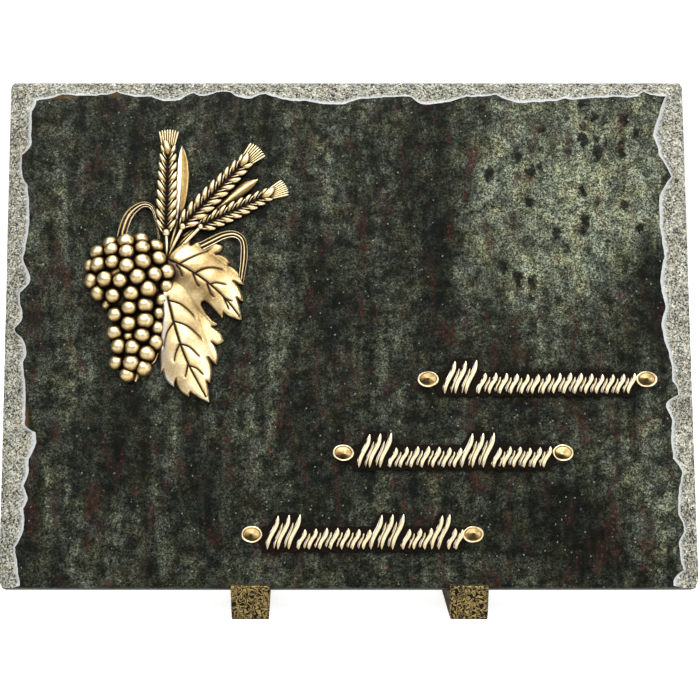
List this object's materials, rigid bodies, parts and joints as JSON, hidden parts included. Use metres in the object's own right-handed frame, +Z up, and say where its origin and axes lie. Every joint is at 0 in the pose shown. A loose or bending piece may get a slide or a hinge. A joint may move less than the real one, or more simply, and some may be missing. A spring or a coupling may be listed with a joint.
{
  "type": "granite memorial plaque with bronze ornament on feet",
  "caption": "Leaning rectangular granite plaque with a chipped border, a bronze vine and wheat relief, bronze inscription strips with oval caps, and metal feet under its lower edge.",
  "frame": {"origin": "on the ground, in the middle of the plaque's footprint", "axes": "+X to the viewer's right along the plaque's width, +Y to the back, +Z up; the polished face looks towards -Y and leans back"},
  "size_m": [0.4, 0.111, 0.3025],
  "materials": {
    "granite": "polished dark green granite, hand-chipped border",
    "bronze": "cast bronze, polished high spots over dark brown patina",
    "hammered_lacquer": "bronze-coloured hammered lacquer"
  },
  "bodies": {
    "root": {"granite_slab": "granite", "vine_ornament": "bronze", "inscription_upper": "bronze", "inscription_middle": "bronze", "inscription_lower": "bronze", "cap_upper_left": "bronze", "cap_upper_right": "bronze", "cap_middle_left": "bronze", "cap_middle_right": "bronze", "cap_lower_left": "bronze", "cap_lower_right": "bronze", "foot_left": "hammered_lacquer", "foot_right": "hammered_lacquer"}
  },
  "joints": []
}
